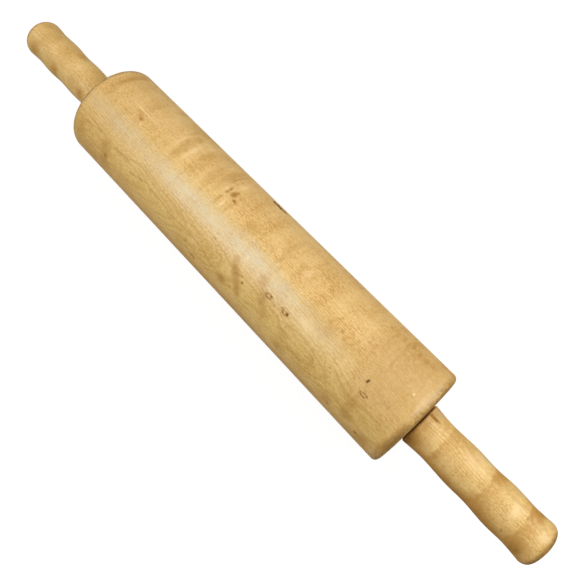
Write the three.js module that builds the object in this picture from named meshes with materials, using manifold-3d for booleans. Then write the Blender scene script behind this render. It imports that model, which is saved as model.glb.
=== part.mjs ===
// A turned wooden rolling pin, lying on its barrel.
// The barrel runs on two shielded ball bearings; one steel axle joins the two handles.
// Millimetres. +X runs along the pin to the right handle, +Z is up, z = 0 is where the barrel rests.
import * as THREE from 'three';
import { mergeVertices } from 'three/addons/utils/BufferGeometryUtils.js';
import Module from 'manifold-3d';

// Barrel
const barrelLength = 300;
const barrelDiameter = 70;
const barrelCornerRadius = 3.5;
const barrelBoreClearance = 0.5;

// Handle: diameters at the root, waists, swells and knob, and the stretches between them
const handleGap = 1.5;
const rootDiameter = 28.9;
const rootCornerRadius = 1.2;
const firstWaistDiameter = 26.7;
const firstSwellDiameter = 27.9;
const secondWaistDiameter = 27.0;
const secondSwellDiameter = 28.5;
const thirdWaistDiameter = 27.4;
const knobDiameter = 28.8;
const endFlatDiameter = 20;
const rootToFirstWaist = 15.2;
const firstWaistToFirstSwell = 18.2;
const firstSwellToSecondWaist = 14.2;
const secondWaistToSecondSwell = 14.6;
const secondSwellToThirdWaist = 13.7;
const thirdWaistToKnob = 11.5;
const knobToEnd = 5;

// Axle
const axleDiameter = 8;
const axleChamfer = 0.6;
const handleEndWall = 32;
const boreBottomGap = 0.3;
const grooveCount = 3;
const grooveDepth = 0.4;
const grooveWidth = 2;
const groovePitch = 9;

// Ball bearing
const ballDiameter = 3.97;
const ballCount = 7;
const ballPlay = 0.08;
const innerRingWall = 1.37;
const outerRingWall = 1.4;
const raceShoulder = 0.5;
const cagePocketGap = 0.15;
const cageWeb = 0.45;
const cageRunningGap = 0.45;
const cageProngReach = 0.9;
const shieldThickness = 0.4;
const shieldSeatStep = 0.8;
const shieldCageGap = 0.3;
const shieldRunningGap = 0.3;
const shieldRecess = 0.215;
const bearingSetback = 0.5;

// Radial clearance of parts that are pressed, glued or slid onto each other
const fitGap = 0.1;

// Facets around each kind of turned piece
const barrelSides = 48;
const handleSides = 32;
const bearingSides = 32;
const axleSides = 20;
const pocketSides = 16;
const ballSides = 10;
const ballRings = 7;
const arcSteps = 4;
const curveStepsPerStretch = 2;

// Sizes that follow from those above
const axisHeight = barrelDiameter / 2;
const axleRadius = axleDiameter / 2;
const ballRadius = ballDiameter / 2;
const raceRadius = ballRadius + ballPlay;
const innerBoreRadius = axleRadius + fitGap;
const pitchRadius = innerBoreRadius + innerRingWall + raceRadius;
const bearingOuterRadius = pitchRadius + raceRadius + outerRingWall;
const innerLandRadius = pitchRadius - raceRadius + raceShoulder;
const outerLandRadius = pitchRadius + raceRadius - raceShoulder;
const shieldSeatRadius = outerLandRadius + shieldSeatStep;
const cageHalfWidth = ballRadius + cagePocketGap + cageWeb;
const shieldInnerFace = cageHalfWidth + shieldCageGap;
const bearingWidth = 2 * (shieldInnerFace + shieldThickness + shieldRecess);
const pocketDepth = bearingWidth + bearingSetback;
const pocketRadius = bearingOuterRadius + fitGap;
const barrelBoreRadius = innerLandRadius + barrelBoreClearance;
const bearingCentre = barrelLength / 2 - bearingSetback - bearingWidth / 2;
const washerThickness = bearingSetback + handleGap;
const handleStretches = [
  [rootToFirstWaist, firstWaistDiameter],
  [firstWaistToFirstSwell, firstSwellDiameter],
  [firstSwellToSecondWaist, secondWaistDiameter],
  [secondWaistToSecondSwell, secondSwellDiameter],
  [secondSwellToThirdWaist, thirdWaistDiameter],
  [thirdWaistToKnob, knobDiameter],
];
const knobPlace = handleStretches.reduce((sum, [stretch]) => sum + stretch, 0);
const handleLength = knobPlace + knobToEnd;
const axleReach = handleLength - handleEndWall;
const axleLength = barrelLength + 2 * (handleGap + axleReach);

// Finishes
const finishes = {
  barrelWood: { color: 0xc99a62, roughness: 0.42, metalness: 0 },
  handleWood: { color: 0xc08d58, roughness: 0.45, metalness: 0 },
  axleSteel: { color: 0x9a9da1, roughness: 0.35, metalness: 1 },
  bearingSteel: { color: 0xb4b7bb, roughness: 0.2, metalness: 1 },
  shieldSteel: { color: 0xa3a6aa, roughness: 0.4, metalness: 1 },
  cageNylon: { color: 0x2f2f31, roughness: 0.6, metalness: 0 },
};

const wasm = await Module();
wasm.setup();

// A point of a turned profile: distance along the axis and radius.
function at(along, radius) {
  return new THREE.Vector2(radius, along);
}

// Points on an arc of a turned profile, from one angle to another; 0 degrees points along the axis.
function arc(centreAlong, centreRadius, alongReach, radialReach, fromDegrees, toDegrees, steps = arcSteps) {
  const points = [];
  for (let i = 0; i <= steps; i += 1) {
    const angle = THREE.MathUtils.degToRad(fromDegrees + ((toDegrees - fromDegrees) * i) / steps);
    const along = centreAlong + alongReach * Math.cos(angle);
    points.push(at(along, centreRadius + radialReach * Math.sin(angle)));
  }
  return points;
}

// A solid turned about the X axis, its flats at the stated radii, one flat facing straight down.
function turned(profile, sides) {
  const halfFacet = Math.PI / sides;
  const points = profile.map((point) => new THREE.Vector2(point.x / Math.cos(halfFacet), point.y));
  return new THREE.LatheGeometry(points, sides, halfFacet).rotateZ(-Math.PI / 2);
}

// A ring profile that closes on itself.
function closed(profile) {
  return [...profile, profile[0].clone()];
}

// A geometry as a solid that can be cut.
function toSolid(geometry) {
  const bare = geometry.clone();
  bare.deleteAttribute('normal');
  bare.deleteAttribute('uv');
  const merged = mergeVertices(bare, 1e-4);
  return new wasm.Manifold(
    new wasm.Mesh({
      numProp: 3,
      vertProperties: new Float32Array(merged.getAttribute('position').array),
      triVerts: new Uint32Array(merged.getIndex().array),
    }),
  );
}

// A cut solid as a geometry again.
function toGeometry(solid) {
  const mesh = solid.getMesh();
  const geometry = new THREE.BufferGeometry();
  geometry.setAttribute('position', new THREE.BufferAttribute(mesh.vertProperties, 3));
  geometry.setIndex(new THREE.BufferAttribute(mesh.triVerts, 1));
  geometry.computeVertexNormals();
  return geometry;
}

function piece(name, geometry, finish) {
  const mesh = new THREE.Mesh(geometry, new THREE.MeshStandardMaterial(finish));
  mesh.name = name;
  return mesh;
}

// Barrel: a cylinder with rounded corners, a bearing pocket at each end and a bore between them.
function barrelGeometry() {
  const end = barrelLength / 2;
  const corner = barrelCornerRadius;
  const rim = axisHeight - corner;
  const floor = end - pocketDepth;
  return turned(
    closed([
      at(-end, pocketRadius),
      ...arc(-end + corner, rim, corner, corner, 180, 90),
      ...arc(end - corner, rim, corner, corner, 90, 0),
      at(end, pocketRadius),
      at(floor, pocketRadius),
      at(floor, barrelBoreRadius),
      at(-floor, barrelBoreRadius),
      at(-floor, pocketRadius),
    ]),
    barrelSides,
  );
}

// The handle's swelling outline from its root corner to the knob, as a smooth curve.
function handleOutline() {
  const knots = [at(rootCornerRadius, rootDiameter / 2)];
  let along = 0;
  for (const [stretch, diameter] of handleStretches) {
    along += stretch;
    knots.push(at(along, diameter / 2));
  }
  return new THREE.SplineCurve(knots).getPoints(curveStepsPerStretch * handleStretches.length);
}

// Handle: root face at x = 0, blind bore for the axle, rounded end with a flat tip.
function handleGeometry() {
  const boreDepth = axleReach + boreBottomGap;
  const boreRadius = axleRadius + fitGap;
  const corner = rootCornerRadius;
  const endFlat = endFlatDiameter / 2;
  const shoulder = knobDiameter / 2 - endFlat;
  return turned(
    [
      at(boreDepth, 0),
      at(boreDepth, boreRadius),
      at(0, boreRadius),
      ...arc(corner, rootDiameter / 2 - corner, corner, corner, 180, 90).slice(0, -1),
      ...handleOutline().slice(0, -1),
      ...arc(knobPlace, endFlat, knobToEnd, shoulder, 90, 0),
      at(handleLength, 0),
    ],
    handleSides,
  );
}

// Axle: a round rod with chamfered ends and glue grooves where it sits in the handles.
function axleGeometry() {
  const end = axleLength / 2;
  const half = [];
  for (let i = grooveCount; i >= 1; i -= 1) {
    const middle = end - i * groovePitch;
    const near = middle - grooveWidth / 2;
    const far = middle + grooveWidth / 2;
    const bottom = axleRadius - grooveDepth;
    half.push(at(near, axleRadius), at(near, bottom), at(far, bottom), at(far, axleRadius));
  }
  half.push(at(end - axleChamfer, axleRadius), at(end, axleRadius - axleChamfer), at(end, 0));
  const otherHalf = half.map((point) => at(-point.y, point.x)).reverse();
  return turned([...otherHalf, ...half], axleSides);
}

// Half width of the ball groove where it meets the land of a ring.
function grooveHalfWidth() {
  return Math.sqrt(raceRadius ** 2 - (raceRadius - raceShoulder) ** 2);
}

// Outer ring: ball groove inside, and a stepped seat for a shield on both faces.
function outerRingGeometry() {
  const face = bearingWidth / 2;
  const edge = THREE.MathUtils.radToDeg(Math.asin((raceRadius - raceShoulder) / raceRadius));
  return turned(
    closed([
      at(-face, bearingOuterRadius),
      at(face, bearingOuterRadius),
      at(face, shieldSeatRadius),
      at(shieldInnerFace, shieldSeatRadius),
      at(shieldInnerFace, outerLandRadius),
      ...arc(0, pitchRadius, raceRadius, raceRadius, edge, 180 - edge),
      at(-shieldInnerFace, outerLandRadius),
      at(-shieldInnerFace, shieldSeatRadius),
      at(-face, shieldSeatRadius),
    ]),
    bearingSides,
  );
}

// Inner ring: a plain bore for the axle and the ball groove outside.
function innerRingGeometry() {
  const face = bearingWidth / 2;
  const edge = THREE.MathUtils.radToDeg(Math.asin(grooveHalfWidth() / raceRadius));
  return turned(
    closed([
      at(-face, innerBoreRadius),
      at(-face, innerLandRadius),
      ...arc(0, pitchRadius, raceRadius, raceRadius, 270 - edge, 270 + edge),
      at(face, innerLandRadius),
      at(face, innerBoreRadius),
    ]),
    bearingSides,
  );
}

// A flat ring between two radii, from one place along the axis to another.
function flatRing(from, to, innerRadius, outerRadius) {
  return turned(
    closed([at(from, outerRadius), at(to, outerRadius), at(to, innerRadius), at(from, innerRadius)]),
    bearingSides,
  );
}

// The shield that sits in the outer ring's seat on its +X face.
function shieldGeometry() {
  const inner = innerLandRadius + shieldRunningGap;
  return flatRing(shieldInnerFace, shieldInnerFace + shieldThickness, inner, shieldSeatRadius - fitGap);
}

// Angle of each ball round the axis.
function ballAngle(index) {
  return (2 * Math.PI * index) / ballCount;
}

// Crown cage: a ring with one round pocket for each ball, open towards +X.
function cageGeometry() {
  const inner = innerLandRadius + cageRunningGap;
  const outer = outerLandRadius - cageRunningGap;
  let crown = toSolid(flatRing(-cageHalfWidth, cageProngReach, inner, outer));
  const pocket = ballRadius + cagePocketGap;
  for (let i = 0; i < ballCount; i += 1) {
    const cutter = new THREE.CylinderGeometry(pocket, pocket, 2 * outer, pocketSides);
    cutter.translate(0, pitchRadius, 0).rotateX(ballAngle(i));
    crown = crown.subtract(toSolid(cutter));
  }
  return toGeometry(crown);
}

// One bearing, centred on its own origin, its pieces named for the side.
function bearing(side) {
  const group = new THREE.Group();
  group.add(
    piece(`bearing_outer_ring_${side}`, outerRingGeometry(), finishes.bearingSteel),
    piece(`bearing_inner_ring_${side}`, innerRingGeometry(), finishes.bearingSteel),
    piece(`bearing_cage_${side}`, cageGeometry(), finishes.cageNylon),
    piece(`bearing_shield_outer_${side}`, shieldGeometry(), finishes.shieldSteel),
  );
  const innerShield = piece(`bearing_shield_inner_${side}`, shieldGeometry(), finishes.shieldSteel);
  innerShield.rotation.y = Math.PI;
  group.add(innerShield);
  for (let i = 0; i < ballCount; i += 1) {
    const sphere = new THREE.SphereGeometry(ballRadius, ballSides, ballRings);
    const ball = piece(`bearing_ball_${side}_${i + 1}`, sphere, finishes.bearingSteel);
    ball.position.set(0, pitchRadius * Math.cos(ballAngle(i)), pitchRadius * Math.sin(ballAngle(i)));
    group.add(ball);
  }
  return group;
}

// Everything at one end of the pin: bearing, thrust washer and handle, drawn for the +X end.
function endGroup(side) {
  const group = new THREE.Group();
  const bearingGroup = bearing(side);
  bearingGroup.position.x = bearingCentre;
  const washerStart = bearingCentre + bearingWidth / 2;
  const washer = flatRing(washerStart, washerStart + washerThickness, innerBoreRadius, innerLandRadius);
  const handle = piece(`handle_${side}`, handleGeometry(), finishes.handleWood);
  handle.position.x = barrelLength / 2 + handleGap;
  group.add(bearingGroup, piece(`thrust_washer_${side}`, washer, finishes.axleSteel), handle);
  return group;
}

const rollingPin = new THREE.Group();
rollingPin.add(
  piece('barrel', barrelGeometry(), finishes.barrelWood),
  piece('axle', axleGeometry(), finishes.axleSteel),
);
const rightEnd = endGroup('right');
const leftEnd = endGroup('left');
leftEnd.rotation.z = Math.PI;
rollingPin.add(rightEnd, leftEnd);
rollingPin.position.z = axisHeight;

export default rollingPin;
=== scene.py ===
"""A turned maple rolling pin on ball bearings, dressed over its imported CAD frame.

Metres. +X runs along the pin to the right handle, +Z is up, and the barrel rests on z = 0.
Wood sizes are written in millimetres, measured from the pin's axis, and scaled where a mesh is made.
"""

import logging
import math
from dataclasses import dataclass, field
from enum import Enum

import bpy
import numpy as np

from mathutils import Matrix, Vector


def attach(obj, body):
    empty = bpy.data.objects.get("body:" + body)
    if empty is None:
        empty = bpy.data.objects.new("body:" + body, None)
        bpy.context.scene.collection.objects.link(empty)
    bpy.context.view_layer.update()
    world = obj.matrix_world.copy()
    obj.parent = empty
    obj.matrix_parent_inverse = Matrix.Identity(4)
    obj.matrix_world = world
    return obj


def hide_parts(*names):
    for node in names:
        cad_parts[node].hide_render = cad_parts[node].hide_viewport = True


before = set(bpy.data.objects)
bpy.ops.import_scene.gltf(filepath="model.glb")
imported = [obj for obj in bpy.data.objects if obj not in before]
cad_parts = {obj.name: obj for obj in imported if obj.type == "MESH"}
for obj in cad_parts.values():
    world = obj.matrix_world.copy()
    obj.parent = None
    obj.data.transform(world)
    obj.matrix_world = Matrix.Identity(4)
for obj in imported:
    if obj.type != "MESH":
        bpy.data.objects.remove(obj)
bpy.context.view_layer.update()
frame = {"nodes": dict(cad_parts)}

log = logging.getLogger("rolling_pin")

MM = 0.001
AXIS_HEIGHT = 35.0
SHARP_ANGLE = 45.0
DENT_FALL = 1.6
NOISE_ROUGHNESS = 0.55
LOOP_REACH = 1.5
VEIN_FADE = 5.0

Colour = tuple[float, float, float, float]
Socket = bpy.types.NodeSocket
Outputs = bpy.types.NodeOutputs
NodeTree = bpy.types.NodeTree
Node = bpy.types.Node
Material = bpy.types.Material
Piece = bpy.types.Object
Feed = Socket | float | tuple[float, ...]


class End(Enum):
    """The two ends of the pin; the value is the sign of X there."""

    LEFT = -1
    RIGHT = 1

    @property
    def word(self) -> str:
        """The end's name as the CAD nodes spell it."""
        return self.name.lower()


class Edge(Enum):
    """How ragged a mark's edge is: (spacing of the raggedness in mm, push in mm)."""

    STILL = (1.0, 0.0)
    SLIGHT = (1.6, 0.7)
    RAGGED = (1.7, 1.5)
    DRIFTING = (8.0, 4.0)


class MarkKind(Enum):
    """How a mark lies in the wood: (radius where it starts, radius where it is full, edge); 1 is its rim."""

    # soft brown stains and curl, and painted shade at the barrel's near rim and on the handles' lower sides
    STAIN = (1.4, 0.2, Edge.DRIFTING)
    # pale wood and worn rims, and painted highlights on the handles' swells and knob, in the barrel's sheen
    # and along the far rim
    PALE = (1.0, 0.1, Edge.DRIFTING)
    # painted sheen: a pale streak that lays part of the lamps' sheen into the wood's colour; also worn pale
    # rims
    SCRUBBED = (1.4, 0.0, Edge.DRIFTING)
    GLINT = (1.1, 0.3, Edge.STILL)
    VEIN = (1.1, 0.1, Edge.RAGGED)
    # dark knots and smears, and painted shade along the handles' top and bottom
    KNOT = (1.7, 0.3, Edge.RAGGED)
    # dark dirty dents, dots and knots' cores, and painted shade at rims, at the gap by the handles, round
    # the tips and along the handles' edges
    GRIME = (1.3, 0.4, Edge.RAGGED)
    LOOP = (0.35, 0.85, Edge.SLIGHT)


@dataclass(frozen=True)
class Patches:
    """Patchy noise: spacing in mm, finer layers, noise where a fade starts and is full, shares there."""

    spacing: tuple[float, float, float]
    detail: float
    noise: tuple[float, float]
    shares: tuple[float, float]


@dataclass(frozen=True)
class WoodMark:
    """One mark in a wooden skin.

    along, length, width and depth are millimetres, around and turn are degrees. length and width are half
    sizes, turn leans the mark from along the pin towards around it, depth is how far the skin sinks there.
    """

    kind: MarkKind
    along: float
    around: float
    length: float
    width: float
    strength: float
    turn: float = 0.0
    depth: float = 0.0


@dataclass(frozen=True)
class VeinLine:
    """A dark line that wanders along the pin through places (mm along, degrees around); half width in mm."""

    width: float
    strength: float
    path: tuple[tuple[float, float], ...]


def marks_of(rows_by_kind: dict[MarkKind, tuple[tuple[float, ...], ...]]) -> tuple[WoodMark, ...]:
    """Marks from rows of along, around, length, width, strength, turn and depth, listed by kind."""
    return tuple(WoodMark(kind, *row) for kind, rows in rows_by_kind.items() for row in rows)


def turned_ring(along: np.ndarray, radius: np.ndarray, angles: np.ndarray, side: int) -> np.ndarray:
    """Carry a profile round the pin's axis.

    Each profile point goes round a circle: x is the place along, y and z are radius times the sine and
    cosine of the angle, with the top at angle 0. A side of -1 is the same piece turned half round about Z.

    Args:
        along: Places along the axis in mm, shaped (profile, angles).
        radius: Radii in mm, shaped like along.
        angles: Angles round the axis in radians.
        side: 1 or -1.

    Returns:
        Grid of points in metres, shaped (profile, angles, 3).
    """
    x = side * along
    y = side * radius * np.sin(angles)
    z = AXIS_HEIGHT + radius * np.cos(angles)
    return np.stack([x, y, z], axis=-1) * MM


def grid_quads(rows: int, columns: int, closed_rows: bool) -> np.ndarray:
    """Number the four corners of every cell of a grid whose columns close on themselves.

    Args:
        rows: Count of profile points.
        columns: Count of angles.
        closed_rows: Whether the profile closes on itself too.

    Returns:
        Vertex numbers shaped (cells, 4), turning so that faces point outwards.
    """
    row_count = rows if closed_rows else rows - 1
    row, column = np.meshgrid(np.arange(row_count), np.arange(columns), indexing="ij")
    next_row = (row + 1) % rows
    next_column = (column + 1) % columns
    corners = [row * columns + column, next_row * columns + column]
    corners += [next_row * columns + next_column, row * columns + next_column]
    return np.stack(corners, axis=-1).reshape(-1, 4)


def pole_fans(rows: int, columns: int) -> np.ndarray:
    """Number the triangles that close a grid's first and last rows with one pole each.

    Args:
        rows: Count of profile points; the two poles are numbered after the grid.
        columns: Count of angles.

    Returns:
        Vertex numbers shaped (triangles, 3).
    """
    column = np.arange(columns)
    next_column = (column + 1) % columns
    first_pole = np.full(columns, rows * columns)
    last_row = (rows - 1) * columns
    first = np.stack([first_pole, column, next_column], axis=-1)
    last = np.stack([first_pole + 1, last_row + next_column, last_row + column], axis=-1)
    return np.concatenate([first, last])


def mesh_object(name: str, points: np.ndarray, quads: np.ndarray, triangles: np.ndarray) -> Piece:
    """Put points and faces into a new smooth-shaded object at the origin, with crisp turned corners.

    Args:
        name: Object name.
        points: Points in metres, shaped (n, 3).
        quads: Vertex numbers shaped (m, 4).
        triangles: Vertex numbers shaped (k, 3).

    Returns:
        The linked object.
    """
    mesh = bpy.data.meshes.new(name)
    corner_count = quads.size + triangles.size
    face_starts = np.concatenate(
        [np.arange(len(quads)) * 4, quads.size + np.arange(len(triangles)) * 3]
    )
    mesh.vertices.add(len(points))
    mesh.vertices.foreach_set("co", points.astype(np.float32).ravel())
    mesh.loops.add(corner_count)
    mesh.loops.foreach_set("vertex_index", np.concatenate([quads.ravel(), triangles.ravel()]))
    mesh.polygons.add(len(face_starts))
    mesh.polygons.foreach_set("loop_start", face_starts)
    mesh.update(calc_edges=True)
    mesh.validate()
    mesh.polygons.foreach_set("use_smooth", np.ones(len(face_starts), dtype=bool))
    mesh.set_sharp_from_angle(angle=math.radians(SHARP_ANGLE))
    made = bpy.data.objects.new(name, mesh)
    bpy.context.scene.collection.objects.link(made)
    return made


def stretch(start: tuple[float, float], end: tuple[float, float], steps: int) -> np.ndarray:
    """Points on a straight line from start up to, but without, end, shaped (steps, 2)."""
    share = np.arange(steps)[:, None] / steps
    return np.asarray(start) + share * (np.asarray(end) - np.asarray(start))


def straight_run(places: tuple[tuple[float, float], ...], steps: tuple[int, ...]) -> np.ndarray:
    """Points on straight lines from place to place, steps of them on each line, without the last place."""
    lines = zip(places, places[1:], steps)
    return np.concatenate([stretch(start, end, count) for start, end, count in lines])


def bow(
    centre: tuple[float, float], reach: tuple[float, float], turn: tuple[float, float], steps: int
) -> np.ndarray:
    """Points on part of an ellipse, without the last one.

    Args:
        centre: Place along and radius of the centre.
        reach: Half axes along the pin and away from it.
        turn: First and last angle in degrees; 0 points along the pin.
        steps: Count of points.

    Returns:
        Profile points shaped (steps, 2).
    """
    angle = np.radians(turn[0] + (turn[1] - turn[0]) * np.arange(steps) / steps)
    return np.asarray(centre) + np.stack([np.cos(angle), np.sin(angle)], axis=-1) * np.asarray(reach)


def smooth_through(knots: np.ndarray, steps: int) -> np.ndarray:
    """Points on a smooth curve through knots, without the last one.

    Between two knots the curve is a cubic whose end slopes are half the chord between the knots on either
    side; past the first and last knots the end knots themselves stand in.

    Args:
        knots: Knots shaped (n, 2).
        steps: Count of points for each stretch between knots.

    Returns:
        Profile points shaped ((n - 1) * steps, 2).
    """
    padded = np.concatenate([knots[:1], knots, knots[-1:]])
    before, start, end, after = padded[:-3], padded[1:-2], padded[2:-1], padded[3:]
    leave = (end - before) / 2
    arrive = (after - start) / 2
    share = (np.arange(steps) / steps)[None, :, None]
    cubic = 2 * start - 2 * end + leave + arrive
    square = 3 * end - 3 * start - 2 * leave - arrive
    curve = cubic[:, None] * share**3 + square[:, None] * share**2 + leave[:, None] * share + start[:, None]
    return curve.reshape(-1, 2)


def outward_normals(profile: np.ndarray, closed: bool) -> np.ndarray:
    """Find the unit normals of a profile: its direction of travel, from neighbour to neighbour, turned left.

    Args:
        profile: Points shaped (n, 2).
        closed: Whether the profile closes on itself.

    Returns:
        Normals shaped like the profile.
    """
    if closed:
        tangent = np.roll(profile, -1, axis=0) - np.roll(profile, 1, axis=0)
    else:
        tangent = np.gradient(profile, axis=0)
    normal = np.stack([-tangent[:, 1], tangent[:, 0]], axis=-1)
    return normal / np.linalg.norm(normal, axis=1, keepdims=True)


def mark_distance(
    along: np.ndarray, around: np.ndarray, mark: WoodMark, skin_radius: float
) -> np.ndarray:
    """Distance of points from a mark, 1 being the edge of its turned ellipse.

    Args:
        along: Places along the pin in mm.
        around: Angles round the pin in degrees.
        mark: The mark.
        skin_radius: Radius in mm that turns an angle into a distance over the skin.

    Returns:
        Distances, shaped like along.
    """
    off_along = along - mark.along
    off_around = ((around - mark.around + 180) % 360 - 180) * math.pi / 180 * skin_radius
    lean = math.radians(mark.turn)
    lengthwise = off_along * math.cos(lean) + off_around * math.sin(lean)
    crosswise = off_around * math.cos(lean) - off_along * math.sin(lean)
    return np.hypot(lengthwise / mark.length, crosswise / mark.width)


def worn_depth(
    along: np.ndarray, around: np.ndarray, marks: tuple[WoodMark, ...], skin_radius: float, wear: float
) -> np.ndarray:
    """How far a wooden skin lies below its turned size.

    Slow waves along and round the pin give the hand-worn unevenness, between 0 and wear deep, and each mark
    with a depth adds a hollow that falls off as a bell curve of the distance from it.

    Args:
        along: Places along the pin in mm.
        around: Angles round the pin in degrees.
        marks: Marks of this piece.
        skin_radius: Mean radius of the skin in mm.
        wear: Deepest wear in mm.

    Returns:
        Depths in mm, shaped like along.
    """
    angle = np.radians(around)
    waves = np.sin(along / 41 + 2 * angle) + np.sin(along / 23 - 3 * angle + 1.3)
    waves = waves + np.sin(5 * angle + along / 67 + 0.6)
    depth = wear * (waves + 3) / 6
    for mark in marks:
        if mark.depth > 0:
            distance = mark_distance(along, around, mark, skin_radius)
            depth = depth + mark.depth * np.exp(-DENT_FALL * distance**2)
    return depth


def turned_piece(
    name: str,
    profile: np.ndarray,
    columns: int,
    closed: bool,
    side: int,
    skin: np.ndarray,
    marks: tuple[WoodMark, ...],
    skin_radius: float,
    wear: float,
) -> Piece:
    """Turn a profile into a piece, sinking its skin by wear and dents along the profile's normals.

    Args:
        name: Object name.
        profile: Points (along, radius) in mm; an open profile starts and ends next to the axis.
        columns: Count of points round the axis.
        closed: Whether the profile closes on itself; an open one gets a pole at both ends.
        side: 1, or -1 for the piece turned half round about Z.
        skin: Share of the wear that each profile point takes.
        marks: Marks whose depths dent the skin.
        skin_radius: Mean radius of the skin in mm.
        wear: Deepest general wear in mm.

    Returns:
        The piece.
    """
    angles = 2 * math.pi * np.arange(columns) / columns - math.pi
    along = np.repeat(profile[:, :1], columns, axis=1)
    radius = np.repeat(profile[:, 1:], columns, axis=1)
    around = np.degrees(side * angles)[None, :] + np.zeros_like(along)
    depth = worn_depth(side * along, around, marks, skin_radius, wear) * skin[:, None]
    normal = outward_normals(profile, closed)
    along = along - depth * normal[:, :1]
    radius = radius - depth * normal[:, 1:]
    points = turned_ring(along, radius, angles, side).reshape(-1, 3)
    rows = len(profile)
    triangles = np.zeros((0, 3), dtype=int)
    if not closed:
        pole_along = np.array([[profile[0, 0]], [profile[-1, 0]]])
        poles = turned_ring(pole_along, np.zeros((2, 1)), np.zeros(1), side).reshape(-1, 3)
        points = np.concatenate([points, poles])
        triangles = pole_fans(rows, columns)
    return mesh_object(name, points, grid_quads(rows, columns, closed), triangles)


class Wiring:
    """Adds nodes to one node tree and joins their sockets."""

    def __init__(self, tree: NodeTree) -> None:
        """Work on one node tree."""
        self.tree = tree

    def node(self, kind: str, **settings: object) -> Node:
        """Add a node and set its properties.

        Args:
            kind: Node type.
            settings: Properties by name.

        Returns:
            The node.
        """
        made = self.tree.nodes.new(kind)
        for name, value in settings.items():
            setattr(made, name, value)
        return made

    def feed(self, socket: Socket, source: Feed) -> None:
        """Join a socket to a source, or set it to a plain value.

        Args:
            socket: The input to fill.
            source: The output to join, or the value.
        """
        if isinstance(source, Socket):
            self.tree.links.new(source, socket)
        else:
            socket.default_value = source

    def fill(self, made: Node, *sources: Feed, **named: Feed) -> Node:
        """Fill a node's inputs in their order or by name, with _ for a space in a name.

        Args:
            made: The node.
            sources: Outputs or values for the first inputs.
            named: Outputs or values by the inputs' names.

        Returns:
            The node.
        """
        for socket, source in zip(made.inputs, sources):
            self.feed(socket, source)
        for name, source in named.items():
            self.feed(made.inputs[name.replace("_", " ")], source)
        return made

    def math(self, operation: str, *sources: Feed) -> Socket:
        """One arithmetic step on numbers."""
        return self.fill(self.node("ShaderNodeMath", operation=operation), *sources).outputs[0]

    def vector(self, operation: str, *sources: Feed) -> Socket:
        """One arithmetic step on vectors."""
        return self.fill(self.node("ShaderNodeVectorMath", operation=operation), *sources).outputs[0]

    def scaled(self, vector: Socket, factor: Socket) -> Socket:
        """A vector made longer or shorter by a factor."""
        made = self.node("ShaderNodeVectorMath", operation="SCALE")
        return self.fill(made, vector, Scale=factor).outputs[0]

    def from_axis(self, vector: Socket) -> Socket:
        """Distance of places from the X axis."""
        across = self.vector("MULTIPLY", vector, (0.0, 1.0, 1.0))
        return self.fill(self.node("ShaderNodeVectorMath", operation="LENGTH"), across).outputs["Value"]

    def parts(self, vector: Socket) -> Outputs:
        """The X, Y and Z of a vector."""
        return self.fill(self.node("ShaderNodeSeparateXYZ"), vector).outputs

    def fade(self, value: Feed, start: Feed, full: Feed, low: Feed = 0.0, high: Feed = 1.0) -> Socket:
        """Move smoothly from low to high as value goes from start to full."""
        made = self.node("ShaderNodeMapRange", interpolation_type="SMOOTHSTEP")
        return self.fill(made, value, start, full, low, high).outputs[0]

    def noise(self, vector: Feed, spacing: tuple[float, float, float], detail: float = 2.0) -> Socket:
        """Cloudy noise.

        Args:
            vector: Places in mm.
            spacing: About how far apart the lumps lie in X, Y and Z, in mm.
            detail: Count of finer layers of lumps.

        Returns:
            The noise, 0 to 1.
        """
        lumps = self.vector("MULTIPLY", vector, tuple(1 / gap for gap in spacing))
        made = self.node("ShaderNodeTexNoise")
        return self.fill(made, Vector=lumps, Scale=1.0, Detail=detail, Roughness=NOISE_ROUGHNESS).outputs[0]

    def patchy(self, solid: Socket, patches: Patches) -> Socket:
        """Noise that fades between the two shares of some patches."""
        lumps = self.noise(solid, patches.spacing, patches.detail)
        return self.fade(lumps, *patches.noise, *patches.shares)

    def gradient(
        self, vector: Socket, kind: str, place: tuple[float, float], turn: float, size: tuple[float, float]
    ) -> Socket:
        """Flat gradient with its own placing.

        Args:
            vector: Flat places.
            kind: Gradient type.
            place: Where the gradient's origin lies.
            turn: Turn in radians.
            size: Stretch along and across.

        Returns:
            The gradient, 0 to 1.
        """
        made = self.node("ShaderNodeTexGradient", gradient_type=kind)
        made.texture_mapping.vector_type = "TEXTURE"
        made.texture_mapping.translation = (*place, 0.0)
        made.texture_mapping.rotation = (0.0, 0.0, turn)
        made.texture_mapping.scale = (*size, 1.0)
        self.feed(made.inputs["Vector"], vector)
        return made.outputs["Fac"]

    def curve(self, value: Feed, points: list[tuple[float, float]]) -> Socket:
        """Look a value up on a smooth curve.

        Args:
            value: The value, 0 to 1.
            points: Points of the curve, all between 0 and 1.

        Returns:
            The curve's height there.
        """
        made = self.node("ShaderNodeFloatCurve")
        line = made.mapping.curves[0]
        line.points[0].location = points[0]
        line.points[1].location = points[-1]
        for point in points[1:-1]:
            line.points.new(*point)
        made.mapping.update()
        return self.fill(made, Value=value).outputs[0]

    def tint(self, share: Feed, below: Feed, above: Feed, blend: str = "MIX") -> Socket:
        """Lay one colour over another.

        Args:
            share: Share of the upper colour.
            below: Lower colour.
            above: Upper colour.
            blend: How they mix.

        Returns:
            The colour.
        """
        made = self.node("ShaderNodeMix", data_type="RGBA", blend_type=blend)
        self.feed(made.inputs["Factor"], share)
        self.feed(made.inputs[6], below)
        self.feed(made.inputs[7], above)
        return made.outputs[2]

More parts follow.
